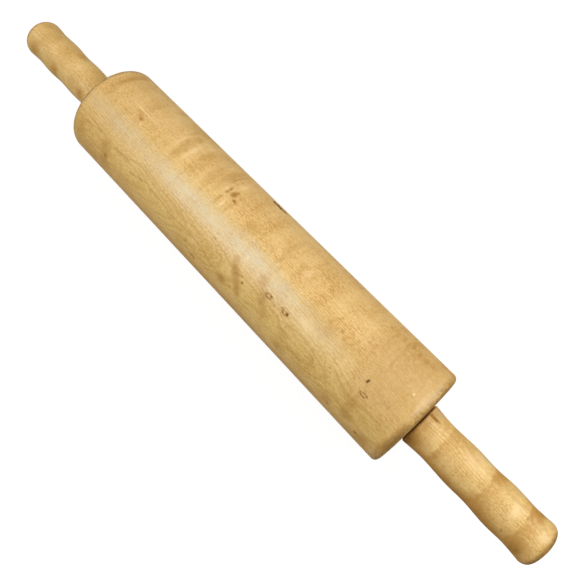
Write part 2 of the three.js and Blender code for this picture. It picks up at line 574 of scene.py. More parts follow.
    def ramp(self, value: Feed, stops: tuple[tuple[float, Colour], ...]) -> Socket:
        """Look a value up in a row of coloured stops.

        Args:
            value: The value, 0 to 1.
            stops: Place and colour of each stop.

        Returns:
            The colour.
        """
        made = self.node("ShaderNodeValToRGB")
        elements = made.color_ramp.elements
        while len(elements) < len(stops):
            elements.new(0.5)
        for element, (place, colour) in zip(elements, stops):
            element.position = place
            element.color = colour
        return self.fill(made, value).outputs[0]

    def bump(self, shader: Node, height: Socket, strength: float, depth: float) -> None:
        """Roughen a shader's surface by a share of a height; a height of 1 is depth mm."""
        made = self.fill(self.node("ShaderNodeBump"), Strength=strength, Distance=depth * MM, Height=height)
        self.feed(shader.inputs["Normal"], made.outputs[0])

    def group(self, tree: NodeTree, **sources: Feed) -> Outputs:
        """Place a node group; an input's name is written with _ for a space."""
        return self.fill(self.node("ShaderNodeGroup", node_tree=tree), **sources).outputs


def new_group(name: str, inputs: dict[str, str], outputs: dict[str, str]) -> tuple[Wiring, Outputs, Node]:
    """Start a shader node group.

    Args:
        name: Group name.
        inputs: Socket types by name.
        outputs: Socket types by name.

    Returns:
        The group's wiring, what it is given, and its output node.
    """
    tree = bpy.data.node_groups.new(name, "ShaderNodeTree")
    for in_out, sockets in (("INPUT", inputs), ("OUTPUT", outputs)):
        for socket_name, kind in sockets.items():
            tree.interface.new_socket(name=socket_name, in_out=in_out, socket_type=kind)
    wiring = Wiring(tree)
    return wiring, wiring.node("NodeGroupInput").outputs, wiring.node("NodeGroupOutput")


NUMBER = "NodeSocketFloat"
VECTOR = "NodeSocketVector"
RING_PATCHES = Patches((16, 9, 9), 2.0, (0.3, 0.62), (0.35, 1.0))
PORE_PATCHES = Patches((4.0, 0.55, 0.55), 1.0, (0.60, 0.76), (0.0, 1.0))


def pin_coordinates_group() -> NodeTree:
    """Places in the pin: mm from its middle, mm along, degrees around (0 on top) and mm from the axis.

    Returns:
        The group.
    """
    outputs = {"Solid": VECTOR, "Along": NUMBER, "Around": NUMBER, "Radius": NUMBER}
    wiring, _, out = new_group("pin coordinates", {}, outputs)
    place = wiring.node("ShaderNodeTexCoord").outputs["Object"]
    scaled = wiring.vector("MULTIPLY", place, (1 / MM,) * 3)
    solid = wiring.vector("SUBTRACT", scaled, (0.0, 0.0, AXIS_HEIGHT))
    parts = wiring.parts(solid)
    around = wiring.math("DEGREES", wiring.math("ARCTAN2", parts["Y"], parts["Z"]))
    wiring.fill(out, Solid=solid, Along=parts["X"], Around=around, Radius=wiring.from_axis(solid))
    return wiring.tree


def maple_figure_group() -> NodeTree:
    """Solid maple: growth rings about a leaning pith, long fibres, short pores, flecks, curl and clouds.

    A ring's darkness rises slowly through the year and drops at its end; its year is the distance from the
    pith line, made to wander by noise, over the ring gap. The rest is noise drawn out along or across the
    pin.

    Returns:
        The group.
    """
    inputs = {"Solid": VECTOR, "Pith": VECTOR, "Ring Gap": NUMBER, "Wander": NUMBER, "Lean": NUMBER}
    inputs["Fineness"] = NUMBER
    names = ("Rings", "Fibres", "Pores", "Flecks", "Curl", "Clouds")
    wiring, given, out = new_group("maple figure", inputs, {name: NUMBER for name in names})
    solid = given["Solid"]
    wobble: Feed = 0.0
    for share, spacing, detail in (
        (1.0, (75, 60, 60), 1.0),
        (0.32, (24, 26, 26), 1.0),
        (0.14, (7, 7, 7), 2.0),
    ):
        sway = wiring.math("SUBTRACT", wiring.noise(solid, spacing, detail), 0.5)
        wobble = wiring.math("MULTIPLY_ADD", sway, share, wobble)
    distance = wiring.from_axis(wiring.vector("SUBTRACT", solid, given["Pith"]))
    distance = wiring.math("MULTIPLY_ADD", wobble, given["Wander"], distance)
    distance = wiring.math("MULTIPLY_ADD", wiring.parts(solid)["X"], given["Lean"], distance)
    year = wiring.math("DIVIDE", distance, given["Ring Gap"])
    season = wiring.math("FRACT", year)
    spring, autumn, winter = 0.2, 0.75, 1.0
    late = wiring.fade(season, spring, autumn)
    drop = wiring.fade(season, autumn, winter, 1.0, 0.0)
    line = wiring.math("MULTIPLY", late, drop)
    harvest = wiring.node("ShaderNodeTexNoise", noise_dimensions="1D")
    harvest_pace = 0.37
    wiring.fill(harvest, W=wiring.math("MULTIPLY", year, harvest_pace), Scale=1.0, Detail=1.0)
    strength = wiring.fade(harvest.outputs[0], 0.35, 0.7, 0.55, 1.0)
    patches = wiring.patchy(solid, RING_PATCHES)
    line = wiring.math("MULTIPLY", wiring.math("MULTIPLY", line, strength), patches)
    fine = wiring.scaled(solid, given["Fineness"])
    wiring.fill(out, Rings=line, Pores=wiring.patchy(fine, PORE_PATCHES))
    for name, grain, spacing, detail in (
        ("Fibres", fine, (22, 0.9, 0.9), 3.0),
        ("Flecks", fine, (2.0, 0.65, 0.65), 2.0),
        ("Curl", solid, (8.5, 34, 34), 2.0),
        ("Clouds", solid, (42, 22, 22), 2.0),
    ):
        wiring.feed(out.inputs[name], wiring.noise(grain, spacing, detail))
    return wiring.tree


def machined_metal_group() -> NodeTree:
    """Marks of turning and handling on metal: fine rings round the axis and soft smudges.

    Returns:
        The group.
    """
    inputs = {"Solid": VECTOR, "Line Gap": NUMBER}
    wiring, given, out = new_group("machined metal", inputs, {"Lines": NUMBER, "Smudge": NUMBER})
    solid = given["Solid"]
    fine = wiring.scaled(solid, wiring.math("DIVIDE", 1.0, given["Line Gap"]))
    wiring.fill(out, Lines=wiring.noise(fine, (1, 40, 40)), Smudge=wiring.noise(solid, (4, 4, 4)))
    return wiring.tree


@dataclass(frozen=True)
class NodeGroups:
    """The shared shader node groups, each built once."""

    coordinates: NodeTree = field(default_factory=pin_coordinates_group)
    maple: NodeTree = field(default_factory=maple_figure_group)
    metal: NodeTree = field(default_factory=machined_metal_group)


def blank_wiring(owner: Material | bpy.types.World) -> Wiring:
    """Turn on an owner's nodes and empty them.

    Args:
        owner: A new material or world.

    Returns:
        The wiring of its node tree.
    """
    owner.use_nodes = True
    owner.node_tree.nodes.clear()
    return Wiring(owner.node_tree)


def new_material(name: str) -> tuple[Material, Wiring, Node]:
    """Start a material with a Principled shader.

    Args:
        name: Material name.

    Returns:
        The material, its wiring and its shader node.
    """
    material = bpy.data.materials.new(name)
    wiring = blank_wiring(material)
    shader = wiring.node("ShaderNodeBsdfPrincipled")
    wiring.fill(wiring.node("ShaderNodeOutputMaterial"), Surface=shader.outputs[0])
    return material, wiring, shader


def facing(wiring: Wiring, places: Outputs, side: float) -> Socket:
    """Cosine of the angle round the pin between the skin and a side given in degrees around."""
    turn = wiring.math("SUBTRACT", wiring.math("RADIANS", places["Around"]), math.radians(side))
    return wiring.math("COSINE", turn)


@dataclass(frozen=True)
class MapleFinish:
    """Old turned maple with a thin worn oil finish.

    Colours are linear. ends is where the ends' darkening, dirty wood with painted shade on the handles'
    tips, starts and is full, in mm along; smudge is how far that darkening and the patina, partly painted
    shade, wander, in mm; face_edge is how far in from the skin an end face starts and is full, in mm.
    curl is the side that shows it best, in degrees around, and its share there.
    """

    name: str
    skin_radius: float
    marks: tuple[WoodMark, ...]
    pith: tuple[float, float, float]
    ends: tuple[float, float]
    curl: tuple[float, float]
    # patina stops; towards the barrel's ends and at the right handle's root and tip they paint shade
    patina_and_shade: tuple[tuple[float, float], ...]
    patina_and_shade_span: tuple[float, float]
    veins: tuple[VeinLine, ...] = ()
    sap_side: float | None = None
    ring_gap: float = 1.4
    wander: float = 9.0
    lean: float = 0.06
    fineness: float = 1.0
    straw: Colour = (0.84, 0.588, 0.254, 1.0)
    honey: Colour = (0.757, 0.490, 0.179, 1.0)
    amber: Colour = (0.55, 0.285, 0.066, 1.0)
    umber: Colour = (0.50, 0.266, 0.057, 1.0)
    vein: Colour = (0.44, 0.218, 0.046, 1.0)
    # colour of knots, and of painted shade along the handles' top and bottom
    knot: Colour = (0.40, 0.178, 0.022, 1.0)
    loop: Colour = (0.27, 0.125, 0.012, 1.0)
    # colour of dirty dents and of painted shade at rims, gaps, tips and edges
    grime: Colour = (0.14, 0.060, 0.003, 1.0)
    # colour of pale wood and of painted highlights; the glints use it too
    pale_and_highlight: Colour = (0.90, 0.66, 0.33, 1.0)
    # colour of the painted sheen streak and of worn pale rims
    scrubbed: Colour = (0.645, 0.575, 0.402, 1.0)
    # colour of the ends' darkening: dirty wood, with painted shade on the handles' tips
    end_dirt_and_shade: Colour = (0.23, 0.13, 0.032, 1.0)
    sap: Colour = (0.98, 1.0, 0.84, 1.0)
    gloss: tuple[float, float] = (0.36, 0.54)
    # breaks up the stains and the painted shade
    stain_and_shade_gaps: Patches = Patches((2.6, 5, 5), 2.0, (0.3, 0.62), (0.6, 1.0))
    # breaks up the painted sheen and the worn pale patches
    painted_sheen_and_wear_gaps: Patches = Patches((6.0, 1.6, 1.6), 2.0, (0.33, 0.67), (0.42, 0.95))
    loop_gaps: Patches = Patches((1.7, 1.7, 1.7), 1.0, (0.4, 0.56), (0.4, 1.0))
    # breaks up the patina and the painted shade laid with it
    patina_and_shade_gaps: Patches = Patches((2.4, 2.2, 2.2), 3.0, (0.32, 0.66), (0.5, 1.25))
    # patches of the ends' darkening, dirty wood and painted shade alike
    end_dirt_and_shade_patches: Patches = Patches((1.5, 1.9, 1.9), 3.0, (0.34, 0.66), (0.1, 0.7))
    smudge: float = 3.0
    face_edge: tuple[float, float] = (3.0, 5.0)
    face_rings: float = 0.8
    face_dirt_and_shade: float = 0.45
    ring_share: float = 0.46
    pore_share: float = 0.3
    specular: float = 0.3
    bump_strength: float = 0.4
    bump_depth: float = 0.12

    def stirred_skin(self, wiring: Wiring, places: Outputs, edge: Edge) -> Socket:
        """Unroll the skin to mm along and mm around, its points pushed about by noise.

        Args:
            wiring: The material's wiring.
            places: The pin coordinates.
            edge: Spacing and push of the noise.

        Returns:
            The flat places.
        """
        spacing, push = edge.value
        arc = wiring.math("MULTIPLY", places["Around"], math.pi / 180 * self.skin_radius)
        flat = wiring.fill(wiring.node("ShaderNodeCombineXYZ"), places["Along"], arc).outputs[0]
        if push == 0:
            return flat
        scaled = wiring.vector("MULTIPLY", places["Solid"], (1 / spacing,) * 3)
        stir = wiring.fill(wiring.node("ShaderNodeTexNoise"), Vector=scaled, Scale=1.0)
        centred = wiring.vector("SUBTRACT", stir.outputs["Color"], (0.5, 0.5, 0.5))
        return wiring.vector("MULTIPLY_ADD", centred, (push, push, 0.0), flat)

    def mark_mask(self, wiring: Wiring, skin: Socket, mark: WoodMark) -> Socket:
        """Draw one mark on the unrolled skin.

        The mask is a smooth step of a round gradient, 1 in the middle and 0 at the start radius, that is
        stretched, turned and moved to the mark's ellipse. A loop is dark only near the ellipse's rim, and
        darkest on one side of it.

        Args:
            wiring: The material's wiring.
            skin: Places on the unrolled skin.
            mark: The mark.

        Returns:
            The mask, up to the mark's strength.
        """
        start, full, _ = mark.kind.value
        reach = LOOP_REACH if mark.kind is MarkKind.LOOP else start
        lean = math.radians(mark.turn)
        centre = (mark.along, mark.around * math.pi / 180 * self.skin_radius)
        round_size = (mark.length * reach, mark.width * reach)
        nearness = wiring.gradient(skin, "SPHERICAL", centre, lean, round_size)
        if mark.kind is not MarkKind.LOOP:
            return wiring.fade(nearness, 0.0, 1 - full / start, 0.0, mark.strength)
        rise = wiring.fade(nearness, 1 - start / reach, 1 - full / reach, 0.0, mark.strength)
        fall = wiring.fade(nearness, 0.0, 1 - full / reach)
        upper, shading, palest = 0.7 * mark.width, 1.1 * mark.width, 0.55
        top = (centre[0] - upper * math.sin(lean), centre[1] + upper * math.cos(lean))
        side = wiring.gradient(skin, "LINEAR", top, lean - math.pi / 2, (shading, 1.0))
        shaded = wiring.fade(side, 0.0, 1.0, palest, 1.0)
        return wiring.math("MULTIPLY", wiring.math("MULTIPLY", rise, fall), shaded)

    def vein_mask(self, wiring: Wiring, skin: Socket, vein: VeinLine) -> Socket:
        """Draw one wandering line on the unrolled skin.

        The mask is full close to a smooth curve through the line's places, gone a little past its half
        width, and fades out over the last few mm at both ends.

        Args:
            wiring: The material's wiring.
            skin: Places on the unrolled skin.
            vein: The line.

        Returns:
            The mask, up to the line's strength.
        """
        along = np.array([place[0] for place in vein.path])
        arc = np.radians([place[1] for place in vein.path]) * self.skin_radius
        span = along[-1] - along[0]
        low, rise = arc.min(), max(np.ptp(arc), 0.1)
        points = list(zip(((along - along[0]) / span).tolist(), ((arc - low) / rise).tolist()))
        parts = wiring.parts(skin)
        travelled = wiring.math("SUBTRACT", parts["X"], float(along[0]))
        share = wiring.math("DIVIDE", travelled, float(span))
        height = wiring.math("MULTIPLY_ADD", wiring.curve(share, points), float(rise), float(low))
        off = wiring.math("ABSOLUTE", wiring.math("SUBTRACT", parts["Y"], height))
        outer, inner = 1.3 * vein.width, 0.2 * vein.width
        line = wiring.fade(off, outer, inner, 0.0, vein.strength)
        middle = wiring.math("ABSOLUTE", wiring.math("SUBTRACT", share, 0.5))
        return wiring.math("MULTIPLY", line, wiring.fade(middle, 0.5, float(0.5 - VEIN_FADE / span)))

    def mark_masks(self, wiring: Wiring, places: Outputs) -> dict[MarkKind, Socket]:
        """Gather each kind's marks into one mask; noise breaks up stains and painted shade, painted sheen
        and wear, and loops.

        Args:
            wiring: The material's wiring.
            places: The pin coordinates.

        Returns:
            A mask for each kind that has marks.
        """
        skins = {edge: self.stirred_skin(wiring, places, edge) for edge in Edge}
        masks: dict[MarkKind, Socket] = {}
        for mark in self.marks:
            mask = self.mark_mask(wiring, skins[mark.kind.value[2]], mark)
            if mark.kind in masks:
                mask = wiring.math("MAXIMUM", masks[mark.kind], mask)
            masks[mark.kind] = mask
        for vein in self.veins:
            line = self.vein_mask(wiring, skins[Edge.RAGGED], vein)
            masks[MarkKind.VEIN] = wiring.math("MAXIMUM", masks[MarkKind.VEIN], line)
        for kind, gaps in (
            (MarkKind.STAIN, self.stain_and_shade_gaps),
            (MarkKind.SCRUBBED, self.painted_sheen_and_wear_gaps),
            (MarkKind.LOOP, self.loop_gaps),
        ):
            if kind in masks:
                masks[kind] = wiring.math("MULTIPLY", masks[kind], wiring.patchy(places["Solid"], gaps))
        return masks

    def figured_colour(self, wiring: Wiring, places: Outputs, figure: Outputs) -> Socket:
        """Colour of the plain wood: tones of fibre, cloud, fleck and curl, then ring lines and pores.

        Args:
            wiring: The material's wiring.
            places: The pin coordinates.
            figure: The maple figure.

        Returns:
            The colour.
        """
        curl_side, curl_share = self.curl
        curled = wiring.fade(facing(wiring, places, curl_side), 0.1, 0.85, 0.3 * curl_share, curl_share)
        tone: Feed = 0.5
        for name, share in (("Fibres", 0.5), ("Clouds", 0.5), ("Flecks", 1.5), ("Curl", curled)):
            swing = wiring.math("SUBTRACT", figure[name], 0.5)
            tone = wiring.math("MULTIPLY_ADD", swing, share, tone)
        colour = wiring.ramp(tone, ((0.1, self.amber), (0.5, self.honey), (0.9, self.straw)))
        if self.sap_side is not None:
            sappy = wiring.fade(facing(wiring, places, self.sap_side), 0.7, 0.97)
            colour = wiring.tint(sappy, colour, self.sap, "MULTIPLY")
        for name, share in (("Rings", self.ring_share), ("Pores", self.pore_share)):
            colour = wiring.tint(wiring.math("MULTIPLY", figure[name], share), colour, self.vein)
        return colour

    def aged_colour(self, wiring: Wiring, places: Outputs, figure: Outputs, colour: Socket) -> Socket:
        """Lay the handling patina and the darkening of the ends, both partly painted shade, over a colour;
        end faces show growth rings.

        Args:
            wiring: The material's wiring.
            places: The pin coordinates.
            figure: The maple figure.
            colour: Colour below.

        Returns:
            The aged colour.
        """
        solid = places["Solid"]
        outwards = wiring.math("ABSOLUTE", places["Along"])
        uneven = wiring.math("SUBTRACT", wiring.noise(solid, (4, 4, 4), 2.0), 0.5)
        smudged = wiring.math("MULTIPLY_ADD", uneven, self.smudge, outwards)
        # patina in the waists, with painted shade towards the barrel's ends and at the right handle's root
        # and tip
        share = wiring.fade(smudged, *self.patina_and_shade_span)
        share.node.interpolation_type = "LINEAR"
        stops = tuple((place, (dark, dark, dark, 1.0)) for place, dark in self.patina_and_shade)
        patchy = wiring.fade(figure["Clouds"], 0.3, 0.6, 0.7, 1.1)
        patchwork = wiring.math("MULTIPLY", patchy, wiring.patchy(solid, self.patina_and_shade_gaps))
        patina_and_shade_share = wiring.math("MULTIPLY", wiring.ramp(share, stops), patchwork)
        colour = wiring.tint(patina_and_shade_share, colour, self.umber)
        # darker ends: dirty wood, with painted shade on the handles' tips
        end = wiring.fade(smudged, *self.ends)
        end_dirt_and_shade_mask = wiring.patchy(solid, self.end_dirt_and_shade_patches)
        face = wiring.fade(places["Radius"], *(self.skin_radius - inset for inset in self.face_edge))
        face_dirt_and_shade_mask = wiring.math("MULTIPLY", end_dirt_and_shade_mask, self.face_dirt_and_shade)
        end_grain = wiring.math("MULTIPLY_ADD", figure["Rings"], self.face_rings, face_dirt_and_shade_mask)
        end_dirt_and_shade_mask = wiring.math("MULTIPLY_ADD", face, wiring.math("SUBTRACT", end_grain, end_dirt_and_shade_mask), end_dirt_and_shade_mask)
        return wiring.tint(wiring.math("MULTIPLY", end, end_dirt_and_shade_mask), colour, self.end_dirt_and_shade)

    def material(self, groups: NodeGroups) -> Material:
        """Build the wood.

        Args:
            groups: Shared node groups.

        Returns:
            The material.
        """
        material, wiring, shader = new_material(self.name)
        places = wiring.group(groups.coordinates)
        figure = wiring.group(
            groups.maple,
            Solid=places["Solid"],
            Pith=self.pith,
            Ring_Gap=self.ring_gap,
            Wander=self.wander,
            Lean=self.lean,
            Fineness=self.fineness,
        )
        colour = self.figured_colour(wiring, places, figure)
        masks = self.mark_masks(wiring, places)
        for kind, over in (
            # painted sheen along the lit band, and worn pale rims
            (MarkKind.SCRUBBED, self.scrubbed),
            # pale wood, and painted highlights
            (MarkKind.PALE, self.pale_and_highlight),
            # stains, and painted shade at the near rim and on the handles' lower sides
            (MarkKind.STAIN, self.umber),
            (MarkKind.VEIN, self.vein),
            (MarkKind.GLINT, self.pale_and_highlight),
            # knots, and painted shade along the handles' top and bottom
            (MarkKind.KNOT, self.knot),
            (MarkKind.LOOP, self.loop),
            # dirty dents, and painted shade at rims, gaps, tips and edges
            (MarkKind.GRIME, self.grime),
        ):
            if kind in masks:
                colour = wiring.tint(masks[kind], colour, over)
        colour = self.aged_colour(wiring, places, figure, colour)
        rough = wiring.fade(figure["Fibres"], 0.3, 0.7, *self.gloss)
        dulled = ((MarkKind.STAIN, 0.12), (MarkKind.KNOT, 0.3), (MarkKind.LOOP, 0.3), (MarkKind.GRIME, 0.4))
        for kind, dulling in dulled:
            if kind in masks:
                rough = wiring.math("MULTIPLY_ADD", masks[kind], dulling, rough)
        wiring.fill(shader, Base_Color=colour, Roughness=rough, Specular_IOR_Level=self.specular)
        height = figure["Fibres"]
        for name, share in (("Pores", -0.7), ("Rings", -0.4), ("Flecks", 0.8), ("Curl", 3.0)):
            height = wiring.math("MULTIPLY_ADD", figure[name], share, height)
        wiring.bump(shader, height, self.bump_strength, self.bump_depth)
        return material


@dataclass(frozen=True)
class SteelFinish:
    """Machined steel: bright or dull, with turning lines and smudges."""

    name: str
    bright: Colour
    dull: Colour
    line_gap: float
    gloss: tuple[float, float]

    def material(self, groups: NodeGroups) -> Material:
        """Build the steel.

        Args:
            groups: Shared node groups.

        Returns:
            The material.
        """
        material, wiring, shader = new_material(self.name)
        places = wiring.group(groups.coordinates)
        marks = wiring.group(groups.metal, Solid=places["Solid"], Line_Gap=self.line_gap)
        smudge = wiring.fade(marks["Smudge"], 0.35, 0.7)
        colour = wiring.tint(smudge, self.bright, self.dull)
        rough = wiring.fade(marks["Smudge"], 0.3, 0.7, *self.gloss)
        wiring.fill(shader, Base_Color=colour, Metallic=1.0, Roughness=rough)
        wiring.bump(shader, marks["Lines"], strength=0.3, depth=0.02)
        return material


@dataclass(frozen=True)
class NylonFinish:
    """Moulded dark nylon with a faint mould grain."""

    name: str
    dark: Colour = (0.022, 0.022, 0.024, 1.0)
    rubbed: Colour = (0.055, 0.054, 0.054, 1.0)
    gloss: tuple[float, float] = (0.45, 0.65)

    def material(self, groups: NodeGroups) -> Material:
        """Build the nylon.

        Args:
            groups: Shared node groups.

        Returns:
            The material.
        """
        material, wiring, shader = new_material(self.name)
        solid = wiring.group(groups.coordinates)["Solid"]
        rubbing = wiring.fade(wiring.noise(solid, (2.5, 2.5, 2.5)), 0.4, 0.7)
        grain = wiring.noise(solid, (0.25, 0.25, 0.25))
        rough = wiring.fade(grain, 0.3, 0.7, *self.gloss)
        wiring.fill(shader, Base_Color=wiring.tint(rubbing, self.dark, self.rubbed), Roughness=rough)
        wiring.bump(shader, grain, strength=0.2, depth=0.02)
        return material


